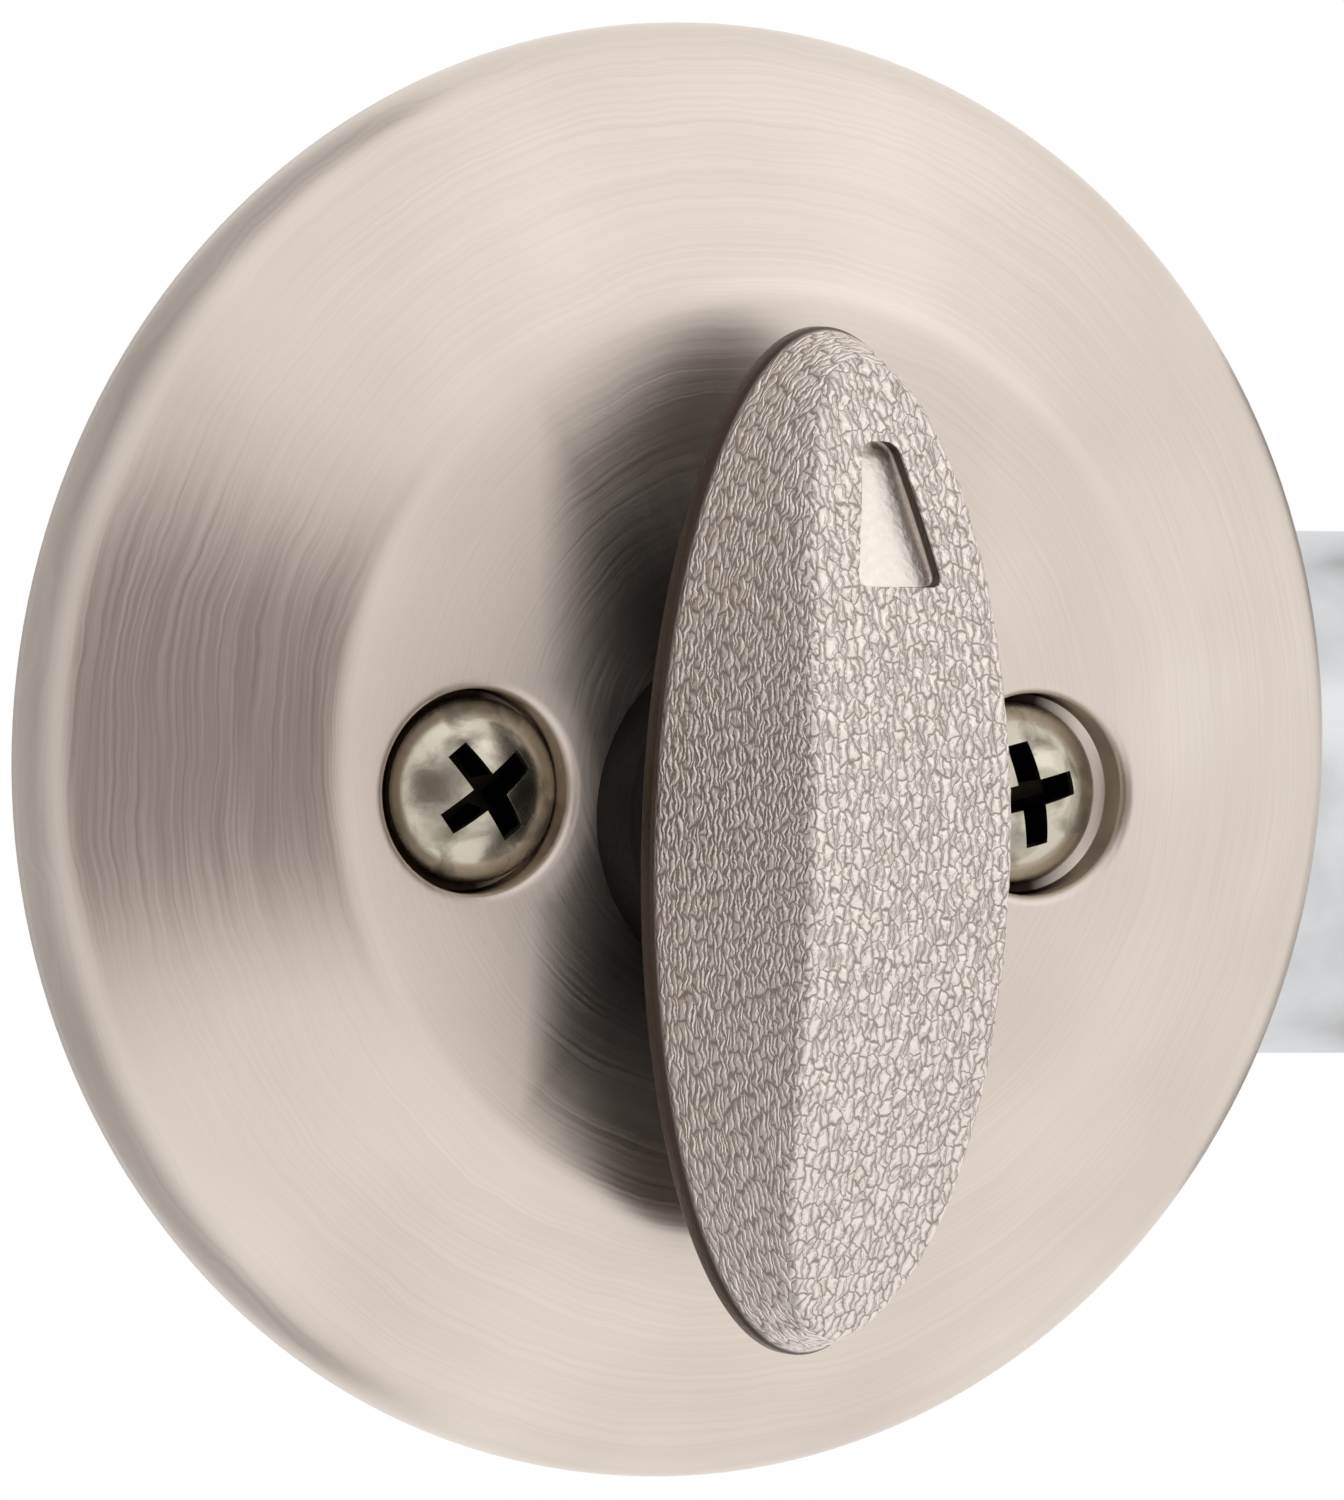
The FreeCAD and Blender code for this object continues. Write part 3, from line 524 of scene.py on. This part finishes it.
# Turnpiece.
# One zinc casting, an oval grip on a round neck, satin nickel plated. The flanks and front are
# cast with a bark-like grain of long raised grains and dark crevices; the base band is smooth.
GRIP_Z = -0.95
HALF_X, HALF_Z = 8.3, 23.35
CREST_X, CREST_Z = 4.7, 20.15
BACK_H, BAND_H, CREST_H, FRONT_H = 13.2, 14.4, 25.5, 24.0
ARCH_R = 42.0
BACK_ROUND, BAND_STEP = 0.3, 0.1
POCKET_LOW, POCKET_TOP, POCKET_WIDE, POCKET_TIP, POCKET_DEEP = 11.8, 18.3, 4.4, 1.8, 1.05
POCKET_CORNER, POCKET_START = 0.6, 28.0
NECK_INTO_GRIP, NECK_END, CLIP_GROOVE_R, CLIP_GROOVE = 13.6, 3.2, 4.3, (6.0, 5.2)
OUTLINE_STEPS = 720
FACE_GRAIN, FLANK_GRAIN = (0.37, 0.85, 3.0), (0.31, 1.25, 40.0)
grip = bmesh.new()
back = (HALF_X - BACK_ROUND, HALF_Z - BACK_ROUND, BACK_H)
loop = round_loop(grip, 0, GRIP_Z, *back, 560)
bmesh.ops.contextual_create(grip, geom=loop)
rings = []
for step in range(1, 5):
    a = math.pi / 2 * step / 4
    rings.append((back[0] + BACK_ROUND * math.sin(a), back[1] + BACK_ROUND * math.sin(a),
                  BACK_H + BACK_ROUND - BACK_ROUND * math.cos(a)))
rings += [(HALF_X, HALF_Z, BAND_H - 0.25), (HALF_X - 0.04, HALF_Z - 0.04, BAND_H - 0.08)]
for step in range(0, 69):
    t = 0.96 * step / 68
    rings.append((HALF_X - BAND_STEP + (CREST_X - HALF_X) * t, HALF_Z - BAND_STEP + (CREST_Z - HALF_Z) * t,
                  BAND_H + (CREST_H - BAND_H) * t))
last_x, last_z = rings[-1][:2]
for step in range(1, 39):
    t = step / 38
    rings.append((last_x * (1 - t) + 1e-7, last_z - last_x * t, CREST_H))
sweep(grip, loop, 0, GRIP_Z, back, rings)
bmesh.ops.remove_doubles(grip, verts=grip.verts, dist=MERGE)


def arch_height(up):
    """Height of the arched front face at a distance above the grip's middle."""
    return FRONT_H - (ARCH_R - math.sqrt(ARCH_R ** 2 - up ** 2))


# The front face is arched, and the ridge between it and each flank is softer towards the top.
for vert in grip.verts:
    flank = -vert.co.y / MM
    if flank < BAND_H:
        continue
    up = vert.co.z / MM - GRIP_Z
    face = arch_height(up)
    blend = 0.9 + 1.4 * min(max((up - 2) / 14, 0.0), 1.0)
    near = max(blend - abs(flank - face), 0.0) / blend
    vert.co.y = -(min(flank, face) - near * near * blend / 4) * MM
bmesh.ops.recalc_face_normals(grip, faces=grip.faces)
grip.normal_update()
# Each point keeps its height and its distance round the outline, so the flank's grain can follow
# the outline, and the whole casting is a little uneven.
outline_lengths = [0.0]
for step in range(1, OUTLINE_STEPS + 1):
    a = math.pi * (step - 0.5) / OUTLINE_STEPS
    piece_length = math.hypot(HALF_X * math.cos(a), HALF_Z * math.sin(a)) * math.pi / OUTLINE_STEPS
    outline_lengths.append(outline_lengths[-1] + piece_length)
across = grip.verts.layers.float.new("across")
along = grip.verts.layers.float.new("along")
flank_share = grip.verts.layers.float.new("flank")
moves = []
for vert in grip.verts:
    height = -vert.co.y / MM
    at = Vector((vert.co.x / MM, height, vert.co.z / MM))
    up = at.z - GRIP_Z
    cover = min(max((height - BAND_H - 0.05) / 0.35, 0.0), 1.0)
    on_flank = min(max((arch_height(up) - height) / 0.5 - 0.2, 0.0), 1.0)
    angle = math.atan2(at.x / HALF_X, up / HALF_Z)
    vert[across] = height
    place_on = abs(angle) / math.pi * OUTLINE_STEPS
    whole_step = min(int(place_on), OUTLINE_STEPS - 1)
    arc = outline_lengths[whole_step] + (place_on - whole_step) * (
        outline_lengths[whole_step + 1] - outline_lengths[whole_step])
    vert[along] = math.copysign(arc, angle)
    vert[flank_share] = on_flank
    rough = noise.noise(at * 1.1) * 0.05 + noise.noise(at * 2.9) * 0.03
    moves.append((vert, vert.normal * rough * cover * MM))
for vert, move in moves:
    vert.co += move
knob = to_piece(grip, "turnpiece_cast", 75)

pocket = bmesh.new()
bmesh.ops.create_grid(pocket, x_segments=1, y_segments=1, size=0.5)
for vert in pocket.verts:
    share = vert.co.y + 0.5
    broad = POCKET_WIDE + (POCKET_TIP - POCKET_WIDE) * share
    pocket_z = GRIP_Z + POCKET_LOW + share * (POCKET_TOP - POCKET_LOW)
    vert.co = Vector((vert.co.x * broad, -POCKET_START, pocket_z)) * MM
bmesh.ops.bevel(pocket, geom=list(pocket.verts), offset=POCKET_CORNER * MM, segments=5, profile=0.5,
                affect="VERTICES")
deep_face = bmesh.ops.extrude_face_region(pocket, geom=list(pocket.faces))["geom"]
for vert in [g for g in deep_face if isinstance(g, bmesh.types.BMVert)]:
    vert.co.y = -(arch_height(vert.co.z / MM - GRIP_Z) - POCKET_DEEP) * MM
cut_away(knob, to_piece(pocket, "pocket_cutter"))

neck = bmesh.new()
lathe(neck, [(0, NECK_INTO_GRIP), (NECK_R, NECK_INTO_GRIP), (NECK_R, CLIP_GROOVE[0]),
             (CLIP_GROOVE_R, CLIP_GROOVE[0]), (CLIP_GROOVE_R, CLIP_GROOVE[1]), (NECK_R, CLIP_GROOVE[1]),
             (NECK_R, NECK_END + 0.2), (NECK_R - 0.2, NECK_END), (0, NECK_END)], 72)
spare = to_piece(neck, "neck")
spare.data.transform(FACE_OUT)
whole = bmesh.new()
whole.from_mesh(knob.data)
whole.from_mesh(spare.data)
bpy.data.objects.remove(spare)
whole.to_mesh(knob.data)
whole.free()
for polygon in knob.data.polygons:
    polygon.use_smooth = True
knob.data.set_sharp_from_angle(angle=math.radians(62))


def bark(tree, where, wide, long, seed):
    """Long raised grains: how deep in a crevice, and how high on a grain, both 0 to 1."""
    warp = node(tree, "TexNoise", {"Vector": where, "Scale": 1.3, "Detail": 3.0})
    push = node(tree, "VectorMath", {0: warp.outputs["Color"], 1: (0.5, 0.5, 0.5)}, operation="SUBTRACT")
    bent = node(tree, "VectorMath", {0: push.outputs[0], 1: (0.7, 0.9, 0.0), 2: where},
                operation="MULTIPLY_ADD")
    sized = node(tree, "VectorMath", {0: bent.outputs[0], 1: (1 / wide, 1 / long, 0.0)},
                 operation="MULTIPLY")
    moved = node(tree, "VectorMath", {0: sized.outputs[0], 1: (seed, 0, 0)}, operation="ADD")
    cells = node(tree, "TexVoronoi", {"Vector": moved.outputs[0], "Scale": 1.0, "Randomness": 0.95},
                 voronoi_dimensions="2D", feature="DISTANCE_TO_EDGE")
    fade = node(tree, "TexNoise", {"Vector": moved.outputs[0], "Scale": 0.8, "Detail": 2.0})
    width = stretch(tree, fade.outputs[0], 0.35, 0.65, 0.08, 0.2)
    crevice = node(tree, "MapRange", {"Value": cells.outputs["Distance"], 1: 0.0, 2: width, 3: 1.0, 4: 0.0},
                   interpolation_type="SMOOTHSTEP").outputs[0]
    cushion = node(tree, "MapRange", {"Value": cells.outputs["Distance"], 1: 0.0, 2: 0.42, 3: 0.0, 4: 1.0},
                   interpolation_type="SMOOTHSTEP").outputs[0]
    return crevice, cushion


def kept(tree, name):
    """A value stored on the piece's points."""
    return node(tree, "Attribute", attribute_name=name).outputs["Fac"]


# Cast satin nickel: pale and warm on the raised grains, brown-grey and dull in the crevices.
cast_nickel, tree, surface, place = new_material("cast_satin_nickel")
split = node(tree, "SeparateXYZ", {0: place})
face_place = node(tree, "CombineXYZ", {"X": split.outputs["X"], "Y": split.outputs["Z"]}).outputs[0]
flank_place = node(tree, "CombineXYZ", {"X": kept(tree, "across"), "Y": kept(tree, "along")}).outputs[0]
face_crevice, face_cushion = bark(tree, face_place, *FACE_GRAIN)
side_crevice, side_cushion = bark(tree, flank_place, *FLANK_GRAIN)
side_of_ridge = node(tree, "Math", {0: kept(tree, "flank"), 1: 0.25}, operation="GREATER_THAN").outputs[0]
crack = node(tree, "Mix", {"Factor": side_of_ridge, 2: face_crevice, 3: side_crevice},
             data_type="FLOAT").outputs[0]
cushion = node(tree, "Mix", {"Factor": side_of_ridge, 2: face_cushion, 3: side_cushion},
               data_type="FLOAT").outputs[0]
# The pocket's floor is nearly smooth, its right wall carries painted shade, and the base band has no grain.
up = node(tree, "Math", {0: split.outputs["Z"], 1: -GRIP_Z}, operation="ADD").outputs[0]
squared = node(tree, "Math", {0: up, 1: up}, operation="MULTIPLY").outputs[0]
left_over = node(tree, "Math", {0: ARCH_R ** 2, 1: squared}, operation="SUBTRACT").outputs[0]
root = node(tree, "Math", {0: left_over}, operation="SQRT").outputs[0]
face_level = node(tree, "Math", {0: root, 1: FRONT_H - ARCH_R}, operation="ADD").outputs[0]
sunk = node(tree, "Math", {0: face_level, 1: split.outputs["Y"]}, operation="ADD").outputs[0]
aside = node(tree, "Math", {0: split.outputs["X"]}, operation="ABSOLUTE").outputs[0]
middle = node(tree, "Math", {0: up, 1: -(POCKET_LOW + POCKET_TOP) / 2}, operation="ADD").outputs[0]
from_middle = node(tree, "Math", {0: middle}, operation="ABSOLUTE").outputs[0]
pocket_area = node(tree, "Math", {0: stretch(tree, aside, 2.35, 2.4, 1.0, 0.0),
                                  1: stretch(tree, from_middle, 3.3, 3.35, 1.0, 0.0)},
                   operation="MULTIPLY").outputs[0]
in_pocket = node(tree, "Math", {0: pocket_area, 1: stretch(tree, sunk, 0.12, 0.2, 0.0, 1.0)},
                 operation="MULTIPLY").outputs[0]
# Painted shade: the pocket's right inner wall is painted dark brown, as shade in the pocket.
right_wall = node(tree, "Math", {0: stretch(tree, sunk, 0.85, 1.0, 1.0, 0.0),
                                 1: stretch(tree, split.outputs["X"], 0.1, 0.4, 0.0, 1.0)},
                  operation="MULTIPLY").outputs[0]
wall = node(tree, "Math", {0: in_pocket, 1: right_wall}, operation="MULTIPLY").outputs[0]
band = stretch(tree, split.outputs["Y"], -BAND_H - 0.4, -BAND_H - 0.05, 0.0, 1.0)
smooth = node(tree, "Math", {0: in_pocket, 1: band}, operation="MAXIMUM").outputs[0]
grained = node(tree, "Math", {0: 1.0, 1: smooth}, operation="SUBTRACT").outputs[0]
crack = node(tree, "Math", {0: crack, 1: grained}, operation="MULTIPLY").outputs[0]
cushion = node(tree, "Math", {0: cushion, 1: grained}, operation="MULTIPLY").outputs[0]
fleck = node(tree, "TexNoise", {"Vector": place, "Scale": 2.6, "Detail": 6.0, "Roughness": 0.6})
raised = blend_colour(tree, fleck.outputs[0], hex_colour("d6cbc1"), hex_colour("f1eae2"))
crevice_toned = blend_colour(tree, crack, raised, hex_colour("a0928a"))
pocket_shade_painted = blend_colour(tree, wall, crevice_toned, hex_colour("43372f"))
tree.links.new(blend_colour(tree, band, pocket_shade_painted, hex_colour("574b44")), surface.inputs["Base Color"])
tree.links.new(stretch(tree, crack, 0.0, 1.0, 0.34, 0.6), surface.inputs["Roughness"])
fine = node(tree, "Math", {0: fleck.outputs[0], 1: 0.5}, operation="MULTIPLY").outputs[0]
height = node(tree, "Math", {0: fine, 1: cushion}, operation="ADD").outputs[0]
bump = node(tree, "Bump", {"Height": height, "Strength": 0.8, "Distance": 0.11 * MM})
tree.links.new(bump.outputs[0], surface.inputs["Normal"])
surface.inputs["Metallic"].default_value = 1.0
finish_piece(knob, cast_nickel, "thumbturn", ["turnpiece"])

# Floor, light and camera.
# A white sweep that only the camera sees, and a bright tent round the object: it has one dim
# patch, where it is open beside the camera, which the left of the rose picks up as a dark wedge.
FLOOR_HALF, FLOOR_Z = 2.4, -0.12
OPEN_TURN, OPEN_RISE = -28, 0.03
TENT_BRIGHT, TENT_OPEN = 1.08, 0.2
CAMERA_FAR, CAMERA_TURN, CAMERA_RISE, CAMERA_ROLL, CAMERA_LENS = 0.8, -27.0, 2.0, 1.4, 416.7
floor_bm = bmesh.new()
bmesh.ops.create_grid(floor_bm, x_segments=1, y_segments=1, size=FLOOR_HALF,
                      matrix=Matrix.Translation((0, 0, FLOOR_Z)))
mesh = bpy.data.meshes.new("floor")
floor_bm.to_mesh(mesh)
floor_bm.free()
floor = bpy.data.objects.new("floor", mesh)
pale = bpy.data.materials.new("white_sweep")
pale.use_nodes = True
tree = pale.node_tree
tree.nodes.clear()
seen = node(tree, "LightPath").outputs["Is Camera Ray"]
glow = node(tree, "Emission", {"Color": (1, 1, 1, 1), "Strength": 1.0})
through = node(tree, "BsdfTransparent")
mixed = node(tree, "MixShader", {0: seen, 1: through.outputs[0], 2: glow.outputs[0]})
node(tree, "OutputMaterial", {"Surface": mixed.outputs[0]})
mesh.materials.append(pale)
bpy.context.scene.collection.objects.link(floor)

world = bpy.data.worlds.new("tent")
bpy.context.scene.world = world
world.use_nodes = True
tree = world.node_tree
tree.nodes.clear()
way = node(tree, "TexCoord").outputs["Generated"]
level_way = node(tree, "VectorMath", {0: way, 1: (1, 1, 0)}, operation="MULTIPLY")
level_way = node(tree, "VectorMath", {0: level_way.outputs[0]}, operation="NORMALIZE")
open_at = (math.sin(math.radians(OPEN_TURN)), -math.cos(math.radians(OPEN_TURN)), 0)
toward = node(tree, "VectorMath", {0: level_way.outputs[0], 1: open_at}, operation="DOT_PRODUCT")
across = node(tree, "MapRange", {"Value": toward.outputs["Value"], 1: 0.88, 2: 0.97, 3: 0.0, 4: 1.0},
              interpolation_type="SMOOTHSTEP").outputs[0]
height = node(tree, "SeparateXYZ", {0: way}).outputs["Z"]
above = node(tree, "Math", {0: height, 1: -OPEN_RISE}, operation="ADD").outputs[0]
off = node(tree, "Math", {0: above}, operation="ABSOLUTE").outputs[0]
upright = node(tree, "MapRange", {"Value": off, 1: 0.27, 2: 0.42, 3: 1.0, 4: 0.0},
               interpolation_type="SMOOTHSTEP").outputs[0]
patch = node(tree, "Math", {0: across, 1: upright}, operation="MULTIPLY").outputs[0]
left = node(tree, "SeparateXYZ", {0: level_way.outputs[0]}).outputs["X"]
edge_dim = stretch(tree, left, -0.98, -0.82, 0.7, 1.0)
patch_dim = stretch(tree, patch, 0.0, 1.0, TENT_BRIGHT, TENT_OPEN)
back_y = node(tree, "SeparateXYZ", {0: level_way.outputs[0]}).outputs["Y"]
behind = stretch(tree, back_y, -0.25, 0.3, 0.0, 1.0)
leftward = stretch(tree, left, -0.3, 0.1, 1.0, 0.0)
behind_left = node(tree, "Math", {0: behind, 1: leftward}, operation="MULTIPLY").outputs[0]
back_dim = stretch(tree, behind_left, 0.0, 1.0, 1.0, 0.5)
front_dim = node(tree, "Math", {0: patch_dim, 1: edge_dim}, operation="MULTIPLY").outputs[0]
dim = node(tree, "Math", {0: front_dim, 1: back_dim}, operation="MULTIPLY").outputs[0]
seen = node(tree, "LightPath").outputs["Is Camera Ray"]
level = node(tree, "Mix", {"Factor": seen, 2: dim, 3: 1.0}, data_type="FLOAT").outputs[0]
tint = blend_colour(tree, patch, (1, 1, 1, 1), (1.0, 0.86, 0.84, 1))
plain = blend_colour(tree, seen, tint, (1, 1, 1, 1))
sky = node(tree, "Background", {"Color": plain, "Strength": level})
node(tree, "OutputWorld", {"Surface": sky.outputs[0]})

for name, place, size, power in (("lamp_right", (0.55, -0.6, 0.45), 0.5, 0.28),
                                 ("lamp_top", (-0.1, -0.35, 0.8), 0.6, 0.15)):
    data = bpy.data.lights.new(name, "AREA")
    data.size = size
    data.energy = power
    lamp = bpy.data.objects.new(name, data)
    back = Vector(place).normalized()
    lamp.matrix_world = Matrix.Translation(place) @ back.to_track_quat("Z", "Y").to_matrix().to_4x4()
    lamp.visible_camera = False
    bpy.context.scene.collection.objects.link(lamp)

turn, rise, roll = (math.radians(a) for a in (CAMERA_TURN, CAMERA_RISE, CAMERA_ROLL))
back = Vector((math.sin(turn) * math.cos(rise), -math.cos(turn) * math.cos(rise), math.sin(rise)))
right = Vector((math.cos(turn), math.sin(turn), 0))
up = back.cross(right)
rolled_right = right * math.cos(roll) + up * math.sin(roll)
rolled_up = up * math.cos(roll) - right * math.sin(roll)
lens = bpy.data.cameras.new("camera")
lens.sensor_width = 36
lens.lens = CAMERA_LENS
camera = bpy.data.objects.new("camera", lens)
turned = Matrix((rolled_right, rolled_up, back)).transposed().to_4x4()
camera.matrix_world = Matrix.Translation(Vector((0, 0, ROSE_Z * MM)) + back * CAMERA_FAR) @ turned
bpy.context.scene.collection.objects.link(camera)
bpy.context.scene.camera = camera
bpy.context.scene.view_settings.view_transform = "Standard"
